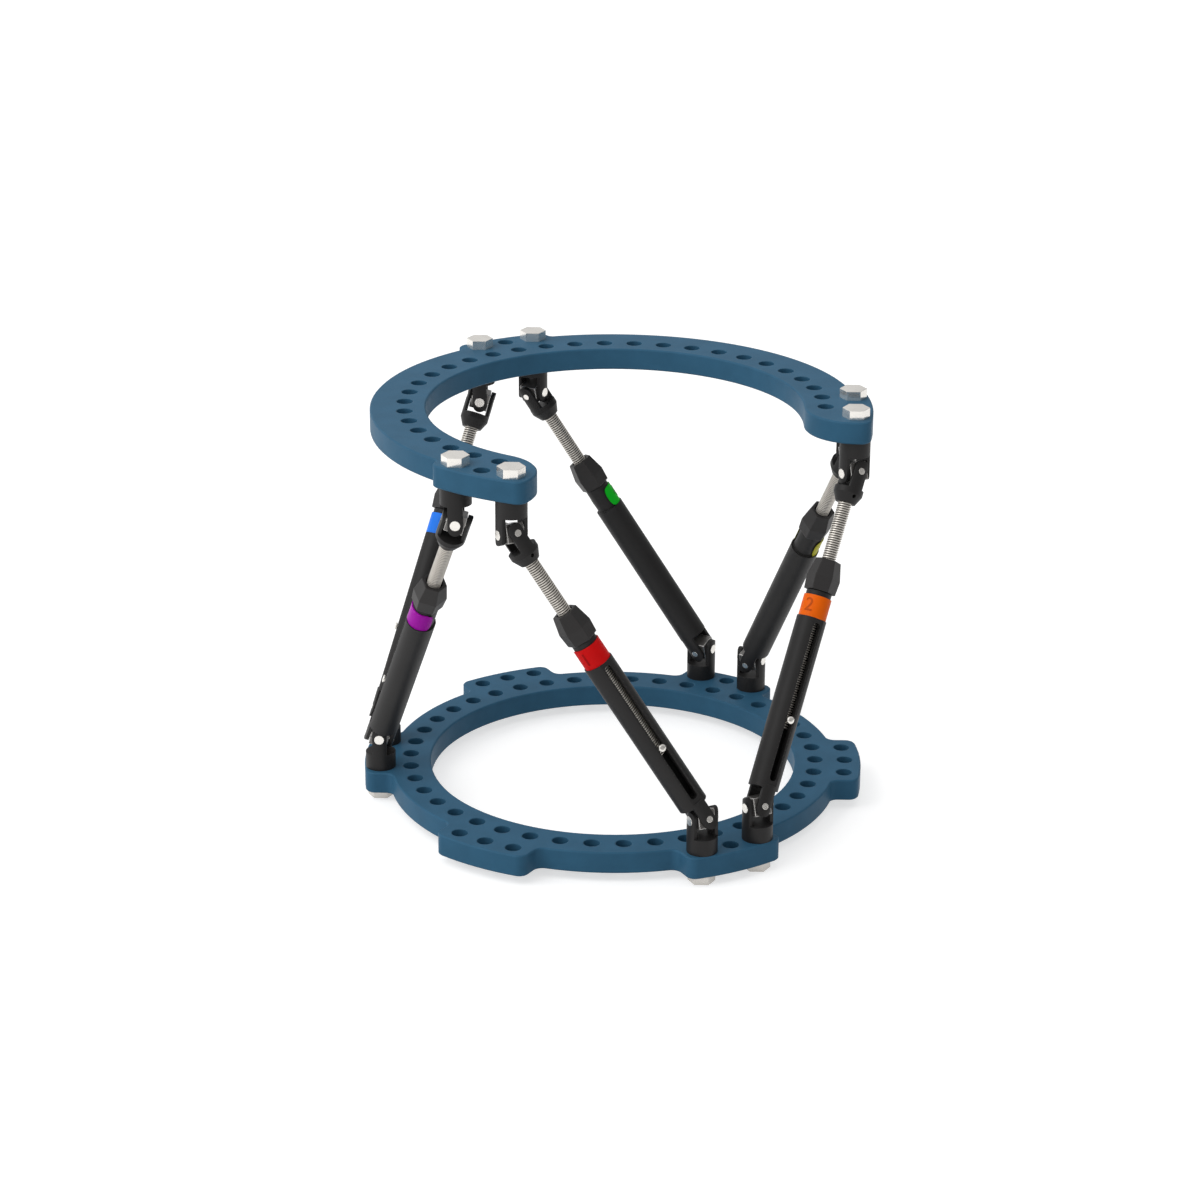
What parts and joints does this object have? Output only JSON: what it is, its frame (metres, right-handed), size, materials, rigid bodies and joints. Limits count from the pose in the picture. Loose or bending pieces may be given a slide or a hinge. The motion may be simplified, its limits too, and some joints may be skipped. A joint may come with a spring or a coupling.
{
  "type": "external fixator",
  "caption": "External bone fixator: full lower ring and open upper ring held apart by slanted telescopic struts on universal joints, with colour-coded bands.",
  "frame": {"origin": "on the common axis of both rings, at the level of the undersides of the lower bolt heads, on which the fixator stands", "axes": "+Z along the ring axis from the full lower ring to the open upper ring; -Y through the middle of the upper ring's opening; +X to the right seen from the opening"},
  "size_m": [0.207, 0.218, 0.1803],
  "materials": {
    "ring_blue": "satin blue anodised",
    "strut_black": "matt black anodised",
    "knob_black": "matt black",
    "steel": "bright turned",
    "band_red": "coloured clip",
    "band_orange": "coloured clip",
    "band_yellow": "coloured clip",
    "band_green": "coloured clip",
    "band_blue": "coloured clip",
    "band_purple": "coloured clip"
  },
  "bodies": {
    "lower_ring": {"lower_ring": "ring_blue", "lower_ring_bolts": "steel", "lower_base_yokes": "strut_black"},
    "upper_ring": {"upper_ring": "ring_blue", "upper_ring_bolts": "steel", "upper_base_yokes": "strut_black"},
    "strut_1_lower_cross": {"strut_1_lower_cross": "steel", "strut_1_lower_pins": "steel"},
    "strut_1_body": {"strut_1_body": "strut_black", "strut_1_id_band": "band_red"},
    "strut_1_knob": {"strut_1_knob": "knob_black"},
    "strut_1_upper_cross": {"strut_1_upper_cross": "steel", "strut_1_upper_pins": "steel"},
    "strut_1_rod": {"strut_1_rod": "steel", "strut_1_rod_yoke": "strut_black"},
    "strut_2_lower_cross": {"strut_2_lower_cross": "steel", "strut_2_lower_pins": "steel"},
    "strut_2_body": {"strut_2_body": "strut_black", "strut_2_id_band": "band_orange"},
    "strut_2_knob": {"strut_2_knob": "knob_black"},
    "strut_2_upper_cross": {"strut_2_upper_cross": "steel", "strut_2_upper_pins": "steel"},
    "strut_2_rod": {"strut_2_rod": "steel", "strut_2_rod_yoke": "strut_black"},
    "strut_3_lower_cross": {"strut_3_lower_cross": "steel", "strut_3_lower_pins": "steel"},
    "strut_3_body": {"strut_3_body": "strut_black", "strut_3_id_band": "band_yellow"},
    "strut_3_knob": {"strut_3_knob": "knob_black"},
    "strut_3_upper_cross": {"strut_3_upper_cross": "steel", "strut_3_upper_pins": "steel"},
    "strut_3_rod": {"strut_3_rod": "steel", "strut_3_rod_yoke": "strut_black"},
    "strut_4_lower_cross": {"strut_4_lower_cross": "steel", "strut_4_lower_pins": "steel"},
    "strut_4_body": {"strut_4_body": "strut_black", "strut_4_id_band": "band_green"},
    "strut_4_knob": {"strut_4_knob": "knob_black"},
    "strut_4_upper_cross": {"strut_4_upper_cross": "steel", "strut_4_upper_pins": "steel"},
    "strut_4_rod": {"strut_4_rod": "steel", "strut_4_rod_yoke": "strut_black"},
    "strut_5_lower_cross": {"strut_5_lower_cross": "steel", "strut_5_lower_pins": "steel"},
    "strut_5_body": {"strut_5_body": "strut_black", "strut_5_id_band": "band_blue"},
    "strut_5_knob": {"strut_5_knob": "knob_black"},
    "strut_5_upper_cross": {"strut_5_upper_cross": "steel", "strut_5_upper_pins": "steel"},
    "strut_5_rod": {"strut_5_rod": "steel", "strut_5_rod_yoke": "strut_black"},
    "strut_6_lower_cross": {"strut_6_lower_cross": "steel", "strut_6_lower_pins": "steel"},
    "strut_6_body": {"strut_6_body": "strut_black", "strut_6_id_band": "band_purple"},
    "strut_6_knob": {"strut_6_knob": "knob_black"},
    "strut_6_upper_cross": {"strut_6_upper_cross": "steel", "strut_6_upper_pins": "steel"},
    "strut_6_rod": {"strut_6_rod": "steel", "strut_6_rod_yoke": "strut_black"}
  },
  "joints": [
    {"name": "ring_spacing", "type": "slide", "parent": "lower_ring", "child": "upper_ring", "axis": [0, 0, 1], "range_m": [-0.012, 0.012]},
    {"name": "strut_1_lower_main_pin", "type": "hinge", "parent": "lower_ring", "child": "strut_1_lower_cross", "pos_m": [-0.01331, -0.10113, 0.0282], "axis": [1, 0, 0], "range_deg": [-1.62, 1.62]},
    {"name": "strut_1_lower_side_pin", "type": "hinge", "parent": "strut_1_lower_cross", "child": "strut_1_body", "pos_m": [-0.01331, -0.10113, 0.0282], "axis": [0, -0.9538, 0.3005], "range_deg": [-2.11, 2.11]},
    {"name": "strut_1_upper_main_pin", "type": "hinge", "parent": "upper_ring", "child": "strut_1_upper_cross", "pos_m": [-0.08092, -0.06209, 0.1521], "axis": [1, 0, 0], "range_deg": [-1.62, 1.62]},
    {"name": "strut_1_upper_side_pin", "type": "hinge", "parent": "strut_1_upper_cross", "child": "strut_1_rod", "pos_m": [-0.08092, -0.06209, 0.1521], "axis": [0, -0.9538, 0.3005], "range_deg": [-2.11, 2.11]},
    {"name": "strut_1_knob_turn", "type": "hinge", "parent": "strut_1_body", "child": "strut_1_knob", "pos_m": [-0.05948, -0.07447, 0.11281], "axis": [-0.4617, 0.2665, 0.8461], "range_deg": [-3728.1, 3728.1]},
    {"name": "strut_2_lower_main_pin", "type": "hinge", "parent": "lower_ring", "child": "strut_2_lower_cross", "pos_m": [0.01331, -0.10113, 0.0282], "axis": [1, 0, 0], "range_deg": [-1.62, 1.62]},
    {"name": "strut_2_lower_side_pin", "type": "hinge", "parent": "strut_2_lower_cross", "child": "strut_2_body", "pos_m": [0.01331, -0.10113, 0.0282], "axis": [0, -0.9538, 0.3005], "range_deg": [-2.11, 2.11]},
    {"name": "strut_2_upper_main_pin", "type": "hinge", "parent": "upper_ring", "child": "strut_2_upper_cross", "pos_m": [0.08092, -0.06209, 0.1521], "axis": [1, 0, 0], "range_deg": [-1.62, 1.62]},
    {"name": "strut_2_upper_side_pin", "type": "hinge", "parent": "strut_2_upper_cross", "child": "strut_2_rod", "pos_m": [0.08092, -0.06209, 0.1521], "axis": [0, -0.9538, 0.3005], "range_deg": [-2.11, 2.11]},
    {"name": "strut_2_knob_turn", "type": "hinge", "parent": "strut_2_body", "child": "strut_2_knob", "pos_m": [0.05948, -0.07447, 0.11281], "axis": [0.4617, 0.2665, 0.8461], "range_deg": [-3728.1, 3728.1]},
    {"name": "strut_3_lower_main_pin", "type": "hinge", "parent": "lower_ring", "child": "strut_3_lower_cross", "pos_m": [0.09424, 0.03903, 0.0282], "axis": [-0.5, 0.866, 0], "range_deg": [-1.62, 1.62]},
    {"name": "strut_3_lower_side_pin", "type": "hinge", "parent": "strut_3_lower_cross", "child": "strut_3_body", "pos_m": [0.09424, 0.03903, 0.0282], "axis": [0.826, 0.4769, 0.3005], "range_deg": [-2.11, 2.11]},
    {"name": "strut_3_upper_main_pin", "type": "hinge", "parent": "upper_ring", "child": "strut_3_upper_cross", "pos_m": [0.09424, -0.03903, 0.1521], "axis": [-0.5, 0.866, 0], "range_deg": [-1.62, 1.62]},
    {"name": "strut_3_upper_side_pin", "type": "hinge", "parent": "strut_3_upper_cross", "child": "strut_3_rod", "pos_m": [0.09424, -0.03903, 0.1521], "axis": [0.826, 0.4769, 0.3005], "range_deg": [-2.11, 2.11]},
    {"name": "strut_3_knob_turn", "type": "hinge", "parent": "strut_3_body", "child": "strut_3_knob", "pos_m": [0.09424, -0.01428, 0.11281], "axis": [0, -0.5331, 0.8461], "range_deg": [-3728.1, 3728.1]},
    {"name": "strut_4_lower_main_pin", "type": "hinge", "parent": "lower_ring", "child": "strut_4_lower_cross", "pos_m": [0.08092, 0.06209, 0.0282], "axis": [-0.5, 0.866, 0], "range_deg": [-1.62, 1.62]},
    {"name": "strut_4_lower_side_pin", "type": "hinge", "parent": "strut_4_lower_cross", "child": "strut_4_body", "pos_m": [0.08092, 0.06209, 0.0282], "axis": [0.826, 0.4769, 0.3005], "range_deg": [-2.11, 2.11]},
    {"name": "strut_4_upper_main_pin", "type": "hinge", "parent": "upper_ring", "child": "strut_4_upper_cross", "pos_m": [0.01331, 0.10113, 0.1521], "axis": [-0.5, 0.866, 0], "range_deg": [-1.62, 1.62]},
    {"name": "strut_4_upper_side_pin", "type": "hinge", "parent": "strut_4_upper_cross", "child": "strut_4_rod", "pos_m": [0.01331, 0.10113, 0.1521], "axis": [0.826, 0.4769, 0.3005], "range_deg": [-2.11, 2.11]},
    {"name": "strut_4_knob_turn", "type": "hinge", "parent": "strut_4_body", "child": "strut_4_knob", "pos_m": [0.03476, 0.08875, 0.11281], "axis": [-0.4617, 0.2665, 0.8461], "range_deg": [-3728.1, 3728.1]},
    {"name": "strut_5_lower_main_pin", "type": "hinge", "parent": "lower_ring", "child": "strut_5_lower_cross", "pos_m": [-0.08092, 0.06209, 0.0282], "axis": [-0.5, -0.866, 0], "range_deg": [-1.62, 1.62]},
    {"name": "strut_5_lower_side_pin", "type": "hinge", "parent": "strut_5_lower_cross", "child": "strut_5_body", "pos_m": [-0.08092, 0.06209, 0.0282], "axis": [-0.826, 0.4769, 0.3005], "range_deg": [-2.11, 2.11]},
    {"name": "strut_5_upper_main_pin", "type": "hinge", "parent": "upper_ring", "child": "strut_5_upper_cross", "pos_m": [-0.01331, 0.10113, 0.1521], "axis": [-0.5, -0.866, 0], "range_deg": [-1.62, 1.62]},
    {"name": "strut_5_upper_side_pin", "type": "hinge", "parent": "strut_5_upper_cross", "child": "strut_5_rod", "pos_m": [-0.01331, 0.10113, 0.1521], "axis": [-0.826, 0.4769, 0.3005], "range_deg": [-2.11, 2.11]},
    {"name": "strut_5_knob_turn", "type": "hinge", "parent": "strut_5_body", "child": "strut_5_knob", "pos_m": [-0.03476, 0.08875, 0.11281], "axis": [0.4617, 0.2665, 0.8461], "range_deg": [-3728.1, 3728.1]},
    {"name": "strut_6_lower_main_pin", "type": "hinge", "parent": "lower_ring", "child": "strut_6_lower_cross", "pos_m": [-0.09424, 0.03903, 0.0282], "axis": [-0.5, -0.866, 0], "range_deg": [-1.62, 1.62]},
    {"name": "strut_6_lower_side_pin", "type": "hinge", "parent": "strut_6_lower_cross", "child": "strut_6_body", "pos_m": [-0.09424, 0.03903, 0.0282], "axis": [-0.826, 0.4769, 0.3005], "range_deg": [-2.11, 2.11]},
    {"name": "strut_6_upper_main_pin", "type": "hinge", "parent": "upper_ring", "child": "strut_6_upper_cross", "pos_m": [-0.09424, -0.03903, 0.1521], "axis": [-0.5, -0.866, 0], "range_deg": [-1.62, 1.62]},
    {"name": "strut_6_upper_side_pin", "type": "hinge", "parent": "strut_6_upper_cross", "child": "strut_6_rod", "pos_m": [-0.09424, -0.03903, 0.1521], "axis": [-0.826, 0.4769, 0.3005], "range_deg": [-2.11, 2.11]},
    {"name": "strut_6_knob_turn", "type": "hinge", "parent": "strut_6_body", "child": "strut_6_knob", "pos_m": [-0.09424, -0.01428, 0.11281], "axis": [0, -0.5331, 0.8461], "range_deg": [-3728.1, 3728.1]}
  ],
  "couplings": [
    {"joint": "strut_1_lower_main_pin", "follows": "ring_spacing", "rad_per_m": 2.3131},
    {"joint": "strut_1_lower_side_pin", "follows": "ring_spacing", "rad_per_m": -3.0068},
    {"joint": "strut_1_upper_main_pin", "follows": "ring_spacing", "rad_per_m": 2.3131},
    {"joint": "strut_1_upper_side_pin", "follows": "ring_spacing", "rad_per_m": -3.0068},
    {"joint": "strut_1_knob_turn", "follows": "ring_spacing", "rad_per_m": -5315.9},
    {"joint": "strut_2_lower_main_pin", "follows": "ring_spacing", "rad_per_m": 2.3131},
    {"joint": "strut_2_lower_side_pin", "follows": "ring_spacing", "rad_per_m": 3.0068},
    {"joint": "strut_2_upper_main_pin", "follows": "ring_spacing", "rad_per_m": 2.3131},
    {"joint": "strut_2_upper_side_pin", "follows": "ring_spacing", "rad_per_m": 3.0068},
    {"joint": "strut_2_knob_turn", "follows": "ring_spacing", "rad_per_m": -5315.9},
    {"joint": "strut_3_lower_main_pin", "follows": "ring_spacing", "rad_per_m": 2.3131},
    {"joint": "strut_3_lower_side_pin", "follows": "ring_spacing", "rad_per_m": -3.0068},
    {"joint": "strut_3_upper_main_pin", "follows": "ring_spacing", "rad_per_m": 2.3131},
    {"joint": "strut_3_upper_side_pin", "follows": "ring_spacing", "rad_per_m": -3.0068},
    {"joint": "strut_3_knob_turn", "follows": "ring_spacing", "rad_per_m": -5315.9},
    {"joint": "strut_4_lower_main_pin", "follows": "ring_spacing", "rad_per_m": 2.3131},
    {"joint": "strut_4_lower_side_pin", "follows": "ring_spacing", "rad_per_m": 3.0068},
    {"joint": "strut_4_upper_main_pin", "follows": "ring_spacing", "rad_per_m": 2.3131},
    {"joint": "strut_4_upper_side_pin", "follows": "ring_spacing", "rad_per_m": 3.0068},
    {"joint": "strut_4_knob_turn", "follows": "ring_spacing", "rad_per_m": -5315.9},
    {"joint": "strut_5_lower_main_pin", "follows": "ring_spacing", "rad_per_m": 2.3131},
    {"joint": "strut_5_lower_side_pin", "follows": "ring_spacing", "rad_per_m": -3.0068},
    {"joint": "strut_5_upper_main_pin", "follows": "ring_spacing", "rad_per_m": 2.3131},
    {"joint": "strut_5_upper_side_pin", "follows": "ring_spacing", "rad_per_m": -3.0068},
    {"joint": "strut_5_knob_turn", "follows": "ring_spacing", "rad_per_m": -5315.9},
    {"joint": "strut_6_lower_main_pin", "follows": "ring_spacing", "rad_per_m": 2.3131},
    {"joint": "strut_6_lower_side_pin", "follows": "ring_spacing", "rad_per_m": 3.0068},
    {"joint": "strut_6_upper_main_pin", "follows": "ring_spacing", "rad_per_m": 2.3131},
    {"joint": "strut_6_upper_side_pin", "follows": "ring_spacing", "rad_per_m": 3.0068},
    {"joint": "strut_6_knob_turn", "follows": "ring_spacing", "rad_per_m": -5315.9}
  ]
}
